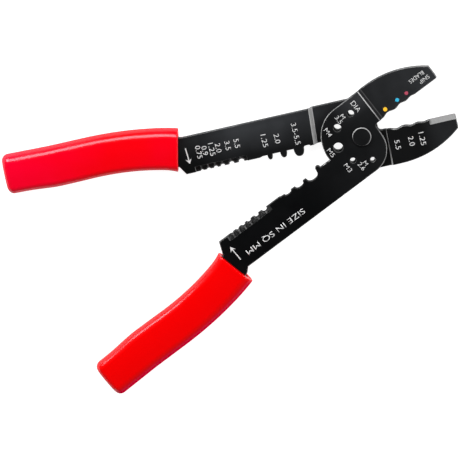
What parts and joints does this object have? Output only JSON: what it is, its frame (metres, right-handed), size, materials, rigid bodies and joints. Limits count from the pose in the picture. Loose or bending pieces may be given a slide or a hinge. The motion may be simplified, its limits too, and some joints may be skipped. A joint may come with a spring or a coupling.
{
  "type": "wire stripper",
  "caption": "Flat plier-type wire stripper and crimper: crossed steel levers on a rivet, jaws, shear holes and sleeve grips.",
  "frame": {"origin": "centre of the rivet tail's flat face, which lies on the bench", "axes": "+X midway between the two jaws towards the nose, +Z along the rivet out of the front face"},
  "size_m": [0.2276, 0.1407, 0.0123],
  "materials": {
    "front_lever_steel": "satin black oxide, bright worn edges",
    "rear_lever_steel": "satin black oxide, bright worn edges",
    "rivet_steel": "satin black, bright chamfer",
    "washer_steel": "zinc plated",
    "front_grip_pvc": "glossy dipped PVC",
    "rear_grip_pvc": "glossy dipped PVC"
  },
  "bodies": {
    "front_lever": {"front_lever": "front_lever_steel", "pivot_rivet": "rivet_steel", "rivet_washer": "washer_steel", "front_grip": "front_grip_pvc"},
    "rear_lever": {"rear_lever": "rear_lever_steel", "rear_grip": "rear_grip_pvc"}
  },
  "joints": [
    {"name": "rivet_pivot", "type": "hinge", "parent": "front_lever", "child": "rear_lever", "pos_m": [0, 0, 0.00525], "axis": [0, 0, 1], "range_deg": [-6.5, 24]}
  ]
}
